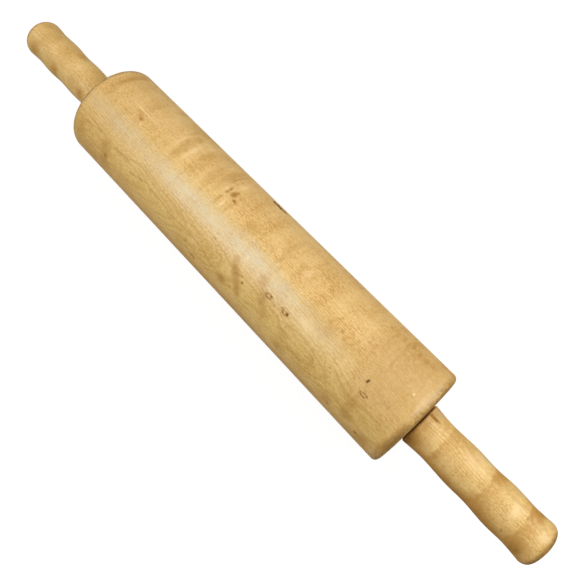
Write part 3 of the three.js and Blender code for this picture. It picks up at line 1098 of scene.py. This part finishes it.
BARREL_MARKS = marks_of(
    {
        MarkKind.KNOT: (
            (-105.5, 1, 1.5, 0.9, 0.9, 0, 0.15), (-26.8, 18.5, 0.9, 1.6, 0.75, 10, 0.1),
            (-26.6, 12.5, 1, 1.5, 0.8, -10, 0.1), (-22.3, 15.5, 1.8, 2.3, 0.9, 15, 0.15),
            (-21.5, 19.5, 1, 1.4, 0.7), (-23.3, 12.8, 1.1, 0.8, 0.8),
            (-18.3, 10.2, 1.5, 1.1, 0.9, 0, 0.1), (-16.8, 9, 0.8, 0.8, 0.7),
            (17.6, -39.6, 1.3, 0.9, 0.5), (20.2, -38, 1.3, 0.5, 0.8),
            (22.5, -43.4, 0.8, 1, 0.9, 20, 0.1), (8.5, -57, 2.4, 1, 0.35, -15),
            (42, -30.3, 1.2, 0.5, 0.8, 10), (39.8, -30.6, 0.6, 0.5, 0.7),
            (56.3, -31.4, 1.2, 0.9, 0.85, 0, 0.1), (52.4, -30.3, 1, 0.5, 0.6, 30),
            (-111.5, -60, 1.7, 1.5, 0.7, 0, 0.1), (-66, -46.5, 1.3, 1, 0.4), (-26, -59, 1.1, 1.8, 0.45),
            (-9, -30.5, 1.1, 0.8, 0.45), (86.4, -5, 1.1, 0.9, 0.5, 0, 0.05),
            (90, -9, 1.2, 0.9, 0.4, 0, 0.05), (121.2, -31.2, 0.8, 0.7, 0.7), (104, 39.5, 1.6, 2.2, 0.18),
            (109, 37.5, 2, 2.2, 0.2), (113.3, 39.5, 1.5, 2.6, 0.28), (117, 38, 1, 3, 0.42),
            (119.8, 40, 1, 2.6, 0.38), (125.2, 37.5, 1.2, 2.4, 0.45), (130, 38, 2, 2.6, 0.45),
            (134.7, 40, 2.2, 2.2, 0.2), (146.5, 58, 3, 3, 0.35), (41.2, -31.8, 2.4, 1.1, 0.15),
            (55.2, -31.8, 2.2, 1, 0.18), (64, -57.5, 0.8, 0.6, 0.6), (77, -58.5, 1.1, 0.6, 0.6, -10),
            (79.3, -58, 0.7, 0.5, 0.5), (107.5, -74.5, 1.4, 1, 0.7), (130, -73.5, 1.3, 1, 0.9, 0, 0.15),
            (132.6, -73.5, 0.7, 0.9, 0.9), (138.2, -2, 0.7, 0.5, 0.4), (-18, -70, 3, 0.9, 0.8, 0, 0.2),
            (15, -39, 5.5, 2.2, 0.2, -45), (19.5, -49, 6.5, 2, 0.2, -52), (9, -59, 4.5, 2.6, 0.2),
            (39.5, -41, 5.5, 2, 0.2, -58), (-15.9, -70.3, 1.2, 0.8, 0.9, 0, 0.2),
        ),
        MarkKind.LOOP: (
            (40.8, -32.2, 2.6, 1.5, 0.8, 0, 0.08), (54.8, -32, 2.4, 1.4, 0.8, 0, 0.1),
            (118.8, -32.2, 2.6, 1.15, 1, 0, 0.2),
        ),
        # Dirty gouge, dots and loop strokes; the rows at the near rim, along 147.2 to 149.3 mm, are painted
        # shade.
        MarkKind.GRIME: (
            (-6.8, 57, 2, 1.9, 1, 10, 0.3), (-4, 58, 2.9, 2.3, 1, -15, 0.4),
            (-1, 57, 2, 2.6, 1, 20, 0.3), (1.8, 57.5, 2.6, 1.8, 0.95, 0, 0.3),
            (4.4, 56.5, 1.6, 1.1, 0.8, -10, 0.2), (115.8, -20.3, 0.85, 1.8, 1, -22, 0.3),
            (130.4, -73.5, 1.5, 0.7, 0.75, 0, 0.15), (148.4, -42, 1.8, 11.5, 0.7),
            (149.3, 18, 1, 28, 0.7), (148.6, 48, 1.3, 12, 0.35), (147.4, -30, 2, 7, 0.25),
            (-21.7, 17.2, 0.9, 1.4, 0.25, 15, 0.1), (-18.3, 10.2, 0.9, 0.6, 0.4),
            (-26.4, 17, 0.5, 1.3, 0.35), (119.2, -34, 2, 0.45, 0.6, 4), (116.5, -32, 0.5, 0.7, 0.45),
            (119.4, -30.6, 1.5, 0.35, 0.35), (147.2, -48, 2.4, 9, 0.4),
            (42.2, -30.6, 1.2, 0.55, 0.8, 15, 0.1), (40.6, -34.6, 1.1, 0.45, 0.7, 0, 0.1),
            (38.6, -31.8, 1, 0.5, 0.6, -15), (56.4, -31.8, 1, 0.7, 0.85, 0, 0.1),
            (53.4, -32.8, 0.9, 0.45, 0.6, -20), (51.6, -30.6, 1, 0.4, 0.5, 30),
            (121.2, -31, 0.8, 0.5, 0.6, 0, 0.1), (117.4, -33.6, 1.2, 0.45, 0.55, -15),
            (22.5, -43.4, 0.6, 0.7, 0.6, 20, 0.1),
        ),
        MarkKind.VEIN: (
            (-134, -30.5, 12, 0.4, 0.4), (-34, -39, 12, 0.4, 0.4, -2), (-9, -44, 5, 0.45, 0.4, -24),
            (16.6, -19.5, 1.1, 0.4, 0.5), (-30.6, 38, 16, 0.7, 0.85, 88),
        ),
        # Curl bands, smears and stains; the rows at the near rim (146.5 to 147.8 mm) are painted shade, and
        # the rows at -76 to -86 degrees darken the barrel towards its bottom edge.
        MarkKind.STAIN: (
            (-138.8, 30, 2.2, 19, 0.85), (-137.5, 2, 2.4, 8, 0.45), (-140.5, 53, 2.4, 5, 0.7),
            (-107, 3, 4, 2.4, 0.5, -20), (-111, 5, 4, 2.5, 0.4), (-71, 36, 3.2, 4.5, 0.8),
            (-70.5, 10, 3.4, 13, 0.65), (-71.5, 25, 2.8, 14, 0.6), (-77.5, 40, 2, 7, 0.5),
            (-56.5, 27, 2.6, 9, 0.55), (-54, 2, 4, 4, 0.4), (-113, -50, 5, 9, 0.75),
            (-112, -68, 6, 8, 0.8), (-140, -60, 5, 9, 0.55), (-90, -68, 9, 5, 0.35),
            (-60, -70, 12, 5, 0.1), (-34, 30, 3.8, 17, 0.7), (-41, 18, 5, 10, 0.4),
            (-26.6, 0, 1.4, 5, 0.6), (-17.6, 0, 1.5, 4.5, 0.6), (-22, 14, 6.5, 5, 0.4),
            (2, 3, 5.5, 5.5, 0.65), (29.5, 20, 2.8, 16, 0.5), (29.3, 4, 2.2, 6, 0.6),
            (42.5, 8, 2.2, 6, 0.45), (10.5, -30.5, 3.5, 2.4, 0.8, -40), (14, -38, 6, 3.8, 1, -45),
            (18.5, -47, 8, 3.4, 0.7, -52), (22, -55, 5, 3, 0.8, -60), (9, -59, 6, 5, 0.85),
            (16.5, -58, 1.6, 1.4, 0.95), (32.5, -25, 4, 3, 0.6, -45), (38.5, -39, 6.5, 3.6, 0.75, -58),
            (43.5, -51, 8.5, 4.2, 0.35, -68), (47, -70, 4, 6, 0.25), (117.5, -48, 4.6, 9, 0.8),
            (119, -62, 6, 6, 0.85), (118.6, 6, 2.8, 8, 0.85), (118.8, 26, 2.6, 9, 0.7),
            (119.5, 45, 2.4, 8, 0.75), (63, -68, 6.5, 6, 0.68), (70, -57, 9, 3, 0.4, -8),
            (82, -70, 7, 5, 0.25), (104, -70, 6, 6, 0.75), (136, -76, 8, 7, 0.9), (-30, -66, 7, 6, 0.4),
            (146.5, -62, 3.4, 16, 1), (146.8, -34, 2.6, 8, 1), (147.6, -50, 1.8, 10, 1),
            (0, -86, 145, 7, 0.5), (124, 6, 26, 32, 0.6), (147.8, 32, 1.8, 10, 0.6),
            (122, 52, 4, 4.5, 0.45), (141, 58, 8, 3.5, 0.55), (108, 54, 5, 4, 0.35),
            (128, -82, 22, 8, 0.6), (92, -84, 20, 6, 0.5), (-128, -76, 14, 6, 0.5),
            (-105, -18, 50, 14, 0.2), (100, -11, 16, 8, 0.42), (77, -13, 13, 7, 0.42),
        ),
        # Pale wood and worn rims; the rows at 15 and 70 mm lie in the sheen and paint part of it, and the
        # row at -145 mm paints a highlight along the far rim.
        MarkKind.PALE: (
            (-145, 20, 1.8, 16, 0.4), (-102.5, -3.5, 2.2, 2, 0.5), (-64.5, 17, 2.6, 11, 0.5),
            (-76, 18, 2.2, 9, 0.35), (-60.5, 40, 2.6, 5, 0.4), (-23.5, 33, 4.4, 7, 0.5),
            (-22.5, 0, 1.6, 5, 0.55), (37, -8, 3, 3, 0.35), (15, -21.5, 2.4, 1.8, 0.6),
            (123.4, 37, 1.3, 3, 0.55), (70, -25, 14, 4, 0.25), (48, 12, 4, 8, 0.3),
            (144.4, 2, 2.4, 12, 0.75), (144.6, 34, 1.4, 6, 0.25), (-58, 52, 8, 5, 0.25),
            (-20, -50, 7, 5, 0.25), (143.5, -78, 2.2, 1.6, 0.6), (140, -75, 1.6, 1.2, 0.5),
            (146, -66, 1.2, 2.2, 0.5),
        ),
        # Painted sheen: the long rows near -18 degrees lay part of the lamps' sheen into the wood; the rows
        # at the near rim are worn pale wood.
        MarkKind.SCRUBBED: (
            (-112, -18, 45, 7.5, 0.5), (126, 2, 26, 22, 0.2), (145.2, 7, 2.6, 17, 0.75),
            (145.5, -74, 3, 3.5, 0.9), (-30, -18, 85, 8, 0.62), (-50, -19, 26, 7.5, 0.75),
            (16, -16, 30, 8, 0.8), (45, -18, 26, 8, 0.6), (72, -20, 34, 8, 0.3),
        ),
        MarkKind.GLINT: (
            (-107.5, 9.8, 13.8, 0.5, 0.75), (-112.5, 9.9, 5, 0.75, 0.5), (-96, 9.8, 3, 0.7, 0.5),
            (-28.8, 15, 0.8, 2.4, 0.5), (-24.6, 18, 0.5, 2, 0.4), (13.4, -57.5, 0.8, 1.7, 0.6),
            (138, 1.2, 1, 1, 0.95),
        ),
    }
)

BARREL_VEIN_LINES = (
    VeinLine(0.75, 0.34, (
        (-146, -52), (-138.6, -48.5), (-135, -43.8), (-128.6, -41.9), (-121.4, -40.3), (-116, -42),
    )),
    VeinLine(0.75, 0.4, (
        (-110, -45), (-107, -43.8), (-102.9, -41.5), (-92.9, -40.3), (-88.6, -36.8), (-78.6, -34.9),
    )),
    VeinLine(0.7, 0.32, (
        (-84, -36), (-78.6, -34.9), (-70, -36.3), (-62.9, -38), (-57, -36.8), (-44, -37.5),
    )),
    VeinLine(0.75, 0.4, (
        (-91, -60), (-88.6, -56), (-87, -50.8), (-82, -48.5), (-76, -46.4), (-72, -43.8), (-66, -45.4),
    )),
    VeinLine(0.75, 0.4, (
        (-69, -45), (-64, -45.7), (-57, -46.1), (-50, -47.3), (-41.4, -49.6), (-33, -48.5), (-26, -49),
    )),
    VeinLine(0.8, 0.42, (
        (-30, -48.6), (-17, -49), (-11.4, -50.8), (-7, -53.2), (-2, -56.5), (2, -58),
    )),
    VeinLine(0.7, 0.4, (
        (-27, -61.5), (-21.4, -60.2), (-13, -62), (-7, -61.3), (-3, -62),
    )),
    VeinLine(0.75, 0.4, (
        (57, -39), (61, -38), (71, -36.8), (80, -38.4), (87, -41.5), (93, -43.8), (97, -48.5),
        (99.5, -57),
    )),
    VeinLine(0.7, 0.32, (
        (98, -36), (100, -36.8), (105.7, -40.3), (110, -43.8), (113, -48.5), (115, -53),
    )),
    VeinLine(0.7, 0.32, (
        (121, -45), (123, -43.8), (128.6, -41.9), (135.7, -41.9), (141, -41),
    )),
    VeinLine(0.7, 0.25, (
        (122, -24), (128, -23.6), (134, -24), (141, -25),
    )),
    VeinLine(0.7, 0.3, (
        (55, -48.5), (62, -47.5), (68, -48.4), (76, -48),
    )),
)

RIGHT_HANDLE_MARKS = marks_of(
    {
        # Dark knots and dots; the long rows at 80 and -92 degrees and the spots at 154.4, 170, 228.5 and 230
        # mm paint shade along the top and bottom of the handle.
        MarkKind.KNOT: (
            (155.7, 22.5, 4, 1.3, 1, 4, 0.2), (220.6, -54, 0.9, 1.1, 0.8, 0, 0.15),
            (170.4, -31, 0.8, 0.6, 0.5), (169.2, -20, 0.7, 0.6, 0.4), (154.4, -68, 3.4, 6, 0.65),
            (230, -68, 5, 6, 0.85), (170, -72, 4, 4, 0.4), (228.5, 58, 4, 5, 0.6),
            (198, -92, 50, 7, 0.75), (198, 80, 50, 4, 0.65),
        ),
        # Dark strokes of the root's knots and a dirty dent; the rows by the gap at the root (151.6 to 154.5
        # mm) are dirt with painted shadow, and the rows round the tip (243.9 mm) and near the top and bottom
        # (206 to 230 mm) are painted shade.
        MarkKind.GRIME: (
            (157.4, 24.5, 1.8, 0.6, 0.75, -4), (154.8, 21.5, 3.2, 0.9, 0.9, 4, 0.2),
            (153, -70, 2.6, 7, 0.75), (154.5, 62, 3.5, 4, 0.15), (153.5, 5, 3, 6, 0.12),
            (243.9, -20, 3, 62, 1), (151.6, -30, 0.9, 60, 0.75), (151.8, -55, 1.6, 12, 0.8),
            (225.2, 12, 0.7, 1.6, 0.5, 0, 0.25), (230, -71, 5, 5, 0.45), (229, 62, 4.5, 4.5, 0.5),
            (224, 66, 5, 3.5, 0.2), (206, -74, 4, 4, 0.12),
        ),
        # Band edges and spots; the rows on the lower side (-62 to -88 degrees) make the handle darker
        # towards the bottom, partly painted shade.
        MarkKind.STAIN: (
            (202, 52, 5, 9, 0.9), (203, -68, 9, 9, 1), (228.5, 54, 5, 8, 1), (230, -64, 9, 10, 1),
            (155, -62, 7, 8, 1), (170, -45, 3, 3, 0.9), (163, 36, 3, 4, 0.4), (222, 60, 3, 5, 0.5),
            (180, -78, 12, 4, 0.8), (198, -88, 50, 8.5, 1), (156, 46, 5, 6, 0.2),
        ),
        # The rows at 218.6 and 237 mm paint the highlight on the middle swell and on the knob; the others
        # lighten the swells.
        MarkKind.PALE: (
            (190, -66, 7, 4, 0.3), (188, 40, 8, 5, 0.45), (218.6, 0, 5, 8, 0.6),
            (163.5, -6, 3.5, 8, 0.35), (237, 6, 4, 6, 0.6), (186, 10, 10, 7, 0.35),
        ),
        # Pale greyish patches in the painted sheen and wear colour.
        MarkKind.SCRUBBED: (
            (155.5, 46, 4.5, 8, 0.75), (192, 62, 10, 4, 0.45), (215, 62, 4, 4, 0.4),
        ),
    }
)

LEFT_HANDLE_MARKS = marks_of(
    {
        MarkKind.STAIN: (
            (-231, -62, 6, 6, 1), (-205.5, -66, 5, 6, 1), (-173.5, -58, 5, 5, 1), (-196, 42, 6, 4, 0.7),
            (-221, 20, 5, 4, 0.5, 20), (-236, 25, 4, 5, 0.6), (-176, 40, 5, 6, 0.4),
            (-171, 10, 6, 7, 0.5), (-205, 14, 5, 6, 0.35), (-227, -8, 6, 8, 0.35),
        ),
        MarkKind.PALE: (
            (-214, -10, 7, 5, 0.3), (-186, 5, 8, 5, 0.3),
        ),
    }
)

LEFT_HANDLE_PATINA = (
    (0, 0.35), (0.06, 0.25), (0.12, 0.1), (0.17, 0.12), (0.22, 0.3), (0.29, 0.15), (0.4, 0.08),
    (0.5, 0.15), (0.57, 0.36), (0.65, 0.2), (0.73, 0.1), (0.8, 0.25), (0.86, 0.36), (0.92, 0.2),
    (0.97, 0.25), (1, 0.45),
)

# Patina in the waists; the stops at the root and the tip also paint shade there.
RIGHT_HANDLE_PATINA_AND_SHADE = (
    (0, 0.65), (0.05, 0.5), (0.1, 0.2), (0.17, 0), (0.182, 0.7), (0.21, 0.5), (0.25, 0.22), (0.38, 0.08),
    (0.51, 0.1), (0.522, 0.95), (0.565, 0.75), (0.6, 0.3), (0.68, 0.06), (0.786, 0.03), (0.8, 1),
    (0.83, 0.95), (0.865, 0.55), (0.9, 0.15), (0.95, 0.2), (0.975, 0.7), (1, 1),
)


@dataclass
class Barrel:
    """The roller: a turned cylinder with worn corners, a bearing pocket at each end and a bore between."""

    length: float = 300.0
    radius: float = 35.0
    corner: float = 3.5
    pocket_radius: float = 11.1
    pocket_depth: float = 7.5
    bore_radius: float = 6.47
    wear: float = 0.12
    columns: int = 256
    rows: int = 250
    marks: tuple[WoodMark, ...] = BARREL_MARKS

    def profile(self) -> tuple[np.ndarray, np.ndarray]:
        """Lay out the closed profile, from the left pocket over the skin to the right pocket and the bore.

        Returns:
            Profile points (along, radius) in mm, and the share of the wear that each takes.
        """
        end = self.length / 2
        rim = self.radius - self.corner
        floor = end - self.pocket_depth
        pocket, bore = self.pocket_radius, self.bore_radius
        reach = (self.corner, self.corner)
        skin = [
            stretch((-end, pocket), (-end, rim), 10),
            bow((-end + self.corner, rim), reach, (180, 90), 9),
            stretch((-end + self.corner, self.radius), (end - self.corner, self.radius), self.rows),
            bow((end - self.corner, rim), reach, (90, 0), 9),
            stretch((end, rim), (end, pocket), 10),
        ]
        right = ((end, pocket), (floor, pocket), (floor, bore))
        left = ((-floor, bore), (-floor, pocket), (-end, pocket))
        hidden = straight_run(right + left, (4, 3, 24, 3, 4))
        points = np.concatenate(skin + [hidden])
        slack = 0.01
        worn = points[:, 1] > rim - slack
        return points, worn.astype(float)

    def build(self, groups: NodeGroups) -> Piece:
        """Make the barrel and dress it in maple.

        Args:
            groups: Shared node groups.

        Returns:
            The barrel.
        """
        points, share = self.profile()
        barrel = turned_piece(
            "maple_barrel", points, self.columns, True, 1, share, self.marks, self.radius, self.wear
        )
        finish = MapleFinish(
            name="barrel maple",
            skin_radius=self.radius,
            marks=self.marks,
            pith=(0.0, -55.0, 43.0),
            ends=(144.0, 149.2),
            curl=(25.0, 0.65),
            veins=BARREL_VEIN_LINES,
            sap_side=-38.0,
            # Painted shade: the barrel darkens towards both its ends.
            patina_and_shade=((0.0, 0.0), (0.68, 0.0), (0.92, 0.14), (0.96, 0.2), (1.0, 0.3)),
            patina_and_shade_span=(0.0, 150.0),
        )
        barrel.data.materials.append(finish.material(groups))
        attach(barrel, "roller")
        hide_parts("barrel")
        return barrel


@dataclass
class Handle:
    """One grip: a turned handle with three waists, a knob end and a blind bore for the axle."""

    end: End
    marks: tuple[WoodMark, ...]
    patina_and_shade: tuple[tuple[float, float], ...]
    root: float = 151.5
    length: float = 92.4
    root_radius: float = 14.45
    root_corner: float = 1.2
    knots: tuple[tuple[float, float], ...] = (
        (15.2, 13.35),
        (33.4, 13.95),
        (47.6, 13.5),
        (62.2, 14.25),
        (75.9, 13.7),
        (87.4, 14.4),
    )
    end_flat: float = 10.0
    bore_radius: float = 4.1
    bore_depth: float = 60.7
    bore_pole: float = 0.4
    end_pole: float = 0.3
    mean_radius: float = 14.0
    # where the tip darkens: dirty wood and painted shade
    dirt_and_shade_end: tuple[float, float] = (87.0, 92.0)
    wear: float = 0.12
    columns: int = 144
    rows_per_stretch: int = 22

    def profile(self) -> tuple[np.ndarray, np.ndarray]:
        """Lay out the profile from the bottom of the bore, over the root and the grip, to the end's middle.

        Returns:
            Profile points (along, radius) in mm, and the share of the wear that each takes.
        """
        root, corner = self.root, self.root_corner
        knob_along, knob_radius = self.knots[-1]
        end_reach = (self.length - knob_along, knob_radius - self.end_flat)
        swells = np.array(((corner, self.root_radius),) + self.knots) + np.array((root, 0.0))
        bottom, bore, tip = root + self.bore_depth, self.bore_radius, root + self.length
        turns = ((bottom, self.bore_pole), (bottom, bore), (root, bore), (root, self.root_radius - corner))
        hidden = straight_run(turns, (3, 16, 6))
        skin = [
            bow((root + corner, self.root_radius - corner), (corner, corner), (180, 90), 6),
            smooth_through(swells, self.rows_per_stretch),
            bow((root + knob_along, self.end_flat), end_reach, (90, 0), 16),
            stretch((tip, self.end_flat), (tip, self.end_pole), 10),
        ]
        points = np.concatenate([hidden] + skin)
        share = np.ones(len(points))
        share[: len(hidden)] = 0.0
        return points, share

    def build(self, groups: NodeGroups) -> Piece:
        """Make the handle and dress it in maple.

        Args:
            groups: Shared node groups.

        Returns:
            The handle.
        """
        points, share = self.profile()
        name = f"maple_handle_{self.end.word}"
        side = self.end.value
        handle = turned_piece(
            name, points, self.columns, False, side, share, self.marks, self.mean_radius, self.wear
        )
        finish = MapleFinish(
            name=f"handle maple {self.end.word}",
            skin_radius=self.mean_radius,
            marks=self.marks,
            pith=(0.0, -24.0 * side, -20.0),
            ends=(self.root + self.dirt_and_shade_end[0], self.root + self.dirt_and_shade_end[1]),
            # heavier patches for the tip's darkening, which is partly painted shade
            end_dirt_and_shade_patches=Patches((1.5, 1.9, 1.9), 3.0, (0.34, 0.66), (0.4, 0.9)),
            patina_and_shade=self.patina_and_shade,
            patina_and_shade_span=(self.root, self.root + self.length),
            curl=(10.0, 0.5),
            straw=(0.853, 0.625, 0.257, 1.0),
            honey=(0.778, 0.525, 0.185, 1.0),
            umber=(0.515, 0.264, 0.052, 1.0),
            fineness=1.3,
            ring_gap=1.2,
            wander=5.0,
            lean=0.02,
        )
        handle.data.materials.append(finish.material(groups))
        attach(handle, "spindle")
        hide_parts(f"handle_{self.end.word}")
        return handle


@dataclass
class RunningGear:
    """The axle, washers and ball bearings, which keep their CAD shapes and get metal and nylon finishes."""

    axle_steel: SteelFinish = SteelFinish(
        "oiled axle steel", (0.11, 0.088, 0.062, 1.0), (0.06, 0.047, 0.033, 1.0), 0.25, (0.4, 0.6)
    )
    bearing_steel: SteelFinish = SteelFinish(
        "ground bearing steel", (0.55, 0.56, 0.58, 1.0), (0.42, 0.42, 0.43, 1.0), 0.12, (0.12, 0.3)
    )
    shield_steel: SteelFinish = SteelFinish(
        "pressed shield steel", (0.48, 0.48, 0.49, 1.0), (0.33, 0.33, 0.34, 1.0), 0.4, (0.3, 0.5)
    )
    cage_nylon: NylonFinish = NylonFinish("cage nylon")

    def finish_for(self, node: str) -> SteelFinish | NylonFinish:
        """The finish of a CAD node, by the first of the words cage, shield and bearing in its name."""
        words = {"cage": self.cage_nylon, "shield": self.shield_steel, "bearing": self.bearing_steel}
        return next((finish for word, finish in words.items() if word in node), self.axle_steel)

    def dress(self, groups: NodeGroups, nodes: dict[str, Piece]) -> list[str]:
        """Give every inner node its finish.

        Args:
            groups: Shared node groups.
            nodes: CAD nodes by name.

        Returns:
            The names of the nodes dressed.
        """
        made: dict[str, Material] = {}
        inner = [name for name in sorted(nodes) if name != "barrel" and not name.startswith("handle_")]
        for name in inner:
            finish = self.finish_for(name)
            if finish.name not in made:
                made[finish.name] = finish.material(groups)
            mesh = nodes[name].data
            mesh.materials.clear()
            mesh.materials.append(made[finish.name])
        return inner


@dataclass(frozen=True)
class Lamp:
    """A rectangular soft lamp facing the pin's middle: metres and watts, its width along the pin.

    A lamp for gloss only is a card that shows in the wood's sheen and adds no soft light.
    """

    name: str
    place: tuple[float, float, float]
    width: float
    height: float
    power: float
    gloss_only: bool = False

    def hang(self) -> None:
        """Add the lamp, out of the camera's sight."""
        data = bpy.data.lights.new(self.name, "AREA")
        data.shape = "RECTANGLE"
        data.size = self.width
        data.size_y = self.height
        data.energy = self.power
        lamp = bpy.data.objects.new(self.name, data)
        away = Vector(self.place) - Vector((0.0, 0.0, AXIS_HEIGHT * MM))
        away.normalize()
        across = away.cross(Vector((1.0, 0.0, 0.0))).normalized()
        sides = (across.cross(away), across, away)
        lamp.location = self.place
        lamp.rotation_euler = Matrix(sides).transposed().to_euler()
        lamp.visible_camera = False
        lamp.visible_diffuse = not self.gloss_only
        bpy.context.scene.collection.objects.link(lamp)


@dataclass
class Studio:
    """A plain pale floor, soft lamps, and the camera at the photograph's viewing angle."""

    lamps: tuple[Lamp, ...] = (
        Lamp("key softbox", (0.52, 0.58, 0.74), 0.8, 0.7, 8.0),
        Lamp("fill softbox", (-0.22, -0.75, 0.80), 0.8, 0.6, 5.8),
        Lamp("sheen card", (-0.46, -0.66, 1.06), 0.3, 0.9, 14.0, True),
        Lamp("overhead card", (0.0, 0.3, 1.2), 2.4, 1.6, 12.0, True),
    )
    floor_half: float = 4.0
    floor_albedo: Colour = (0.20, 0.20, 0.20, 1.0)
    floor_glow: float = 0.88
    floor_mirrored: float = 0.1
    sky: Colour = (0.96, 0.96, 0.96, 1.0)
    ambient: float = 0.39
    ambient_mirrored: float = 0.25
    camera_place: tuple[float, float, float] = (0.1320, -0.0857, 0.3973)
    camera_elevation: float = 68.30
    camera_azimuth: float = 47.30
    camera_lens: float = 36.956
    camera_shift: float = -25.2 / 580

    def seen_directly(self, wiring: Wiring, mirrored: float) -> Socket:
        """Tell rays that look from rays that carry soft light.

        Args:
            wiring: Wiring of the floor's or the world's nodes.
            mirrored: Value for glossy rays.

        Returns:
            1 for camera and transmission rays, mirrored for glossy ones, 0 for the rest.
        """
        path = wiring.node("ShaderNodeLightPath").outputs
        seen = wiring.math("MAXIMUM", path["Is Camera Ray"], path["Is Transmission Ray"])
        return wiring.math("MULTIPLY_ADD", path["Is Glossy Ray"], mirrored, seen)

    def build_floor(self) -> None:
        """Lay a flat square floor that looks white and still takes a faint shadow."""
        half = self.floor_half
        points = np.array([(-half, -half, 0.0), (half, -half, 0.0), (half, half, 0.0), (-half, half, 0.0)])
        floor = mesh_object("floor", points, np.array([[0, 1, 2, 3]]), np.zeros((0, 3), dtype=int))
        material = bpy.data.materials.new("pale floor")
        wiring = blank_wiring(material)
        matte = wiring.fill(wiring.node("ShaderNodeBsdfDiffuse"), Color=self.floor_albedo)
        seen = self.seen_directly(wiring, self.floor_mirrored)
        brightness = wiring.math("MULTIPLY", seen, self.floor_glow)
        glow = wiring.fill(wiring.node("ShaderNodeEmission"), Strength=brightness)
        both = wiring.fill(wiring.node("ShaderNodeAddShader"), matte.outputs[0], glow.outputs[0])
        wiring.fill(wiring.node("ShaderNodeOutputMaterial"), Surface=both.outputs[0])
        floor.data.materials.append(material)

    def build_world(self) -> None:
        """Surround the pin with white that is seen at full strength and lights it only softly."""
        world = bpy.data.worlds.new("studio")
        wiring = blank_wiring(world)
        seen = self.seen_directly(wiring, self.ambient_mirrored)
        soft = wiring.math("SUBTRACT", 1.0, wiring.math("CEIL", seen))
        strength = wiring.math("MULTIPLY_ADD", soft, self.ambient, seen)
        sky = wiring.fill(wiring.node("ShaderNodeBackground"), Color=self.sky, Strength=strength)
        wiring.fill(wiring.node("ShaderNodeOutputWorld"), Surface=sky.outputs[0])
        bpy.context.scene.world = world

    def build_camera(self) -> None:
        """Put the camera where the photograph was taken from."""
        data = bpy.data.cameras.new("camera")
        data.sensor_width = 36.0
        data.lens = self.camera_lens
        data.shift_y = self.camera_shift
        data.clip_start = 0.01
        camera = bpy.data.objects.new("camera", data)
        camera.location = self.camera_place
        tilt = math.radians(90 - self.camera_elevation)
        camera.rotation_euler = (tilt, 0.0, math.radians(self.camera_azimuth))
        bpy.context.scene.collection.objects.link(camera)
        bpy.context.scene.camera = camera

    def build(self) -> None:
        """Set up the floor, the light, the camera and the plain colour transform."""
        self.build_floor()
        self.build_world()
        for lamp in self.lamps:
            lamp.hang()
        self.build_camera()
        bpy.context.scene.view_settings.view_transform = "Standard"


def main() -> None:
    """Build the pin's pieces in order, then the studio."""
    logging.basicConfig(level=logging.INFO, format="%(name)s: %(message)s")
    groups = NodeGroups()
    barrel = Barrel().build(groups)
    log.info("%s: %d faces", barrel.name, len(barrel.data.polygons))
    left = Handle(End.LEFT, LEFT_HANDLE_MARKS, LEFT_HANDLE_PATINA)
    right = Handle(End.RIGHT, RIGHT_HANDLE_MARKS, RIGHT_HANDLE_PATINA_AND_SHADE)
    for handle in (left.build(groups), right.build(groups)):
        log.info("%s: %d faces", handle.name, len(handle.data.polygons))
    dressed = RunningGear().dress(groups, frame["nodes"])
    log.info("running gear: %d nodes dressed", len(dressed))
    Studio().build()
    log.info("studio: floor, lamps and camera")


if __name__ == "__main__":
    main()
